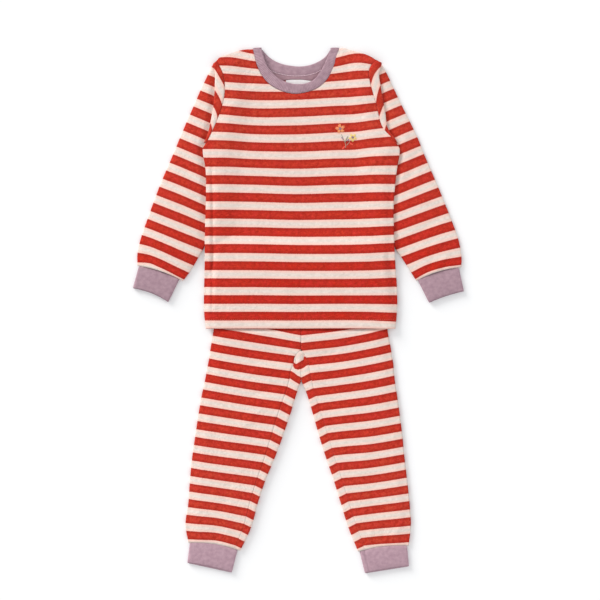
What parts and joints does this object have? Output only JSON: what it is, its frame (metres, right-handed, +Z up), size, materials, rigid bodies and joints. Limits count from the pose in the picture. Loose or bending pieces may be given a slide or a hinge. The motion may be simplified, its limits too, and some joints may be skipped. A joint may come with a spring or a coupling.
{
  "type": "child's two-piece pyjama set laid flat",
  "caption": "Long-sleeved striped velour top with ribbed neckband and cuffs, laid flat over matching long trousers with ribbed cuffs.",
  "frame": {"origin": "middle of the set's outline, on the surface it lies on", "axes": "+X to the right and +Y towards the neck as the laid-out set is looked down on, +Z up from the surface"},
  "size_m": [0.5312, 0.8428, 0.012],
  "materials": {
    "striped_velour": "cotton velour in horizontal brick-red and cream stripes",
    "rib": "mauve knitted rib, doubled",
    "tape": "mauve knitted tape",
    "label": "bare white woven label"
  },
  "bodies": {
    "root": {"top_front": "striped_velour", "top_back": "striped_velour", "sleeve_left": "striped_velour", "sleeve_right": "striped_velour", "trouser_front_left": "striped_velour", "trouser_front_right": "striped_velour", "trouser_back_left": "striped_velour", "trouser_back_right": "striped_velour", "sleeve_cuff_left": "rib", "sleeve_cuff_right": "rib", "leg_cuff_left": "rib", "leg_cuff_right": "rib", "neckband": "rib", "waistband": "rib", "neck_tape": "tape", "neck_label": "label"}
  },
  "joints": []
}
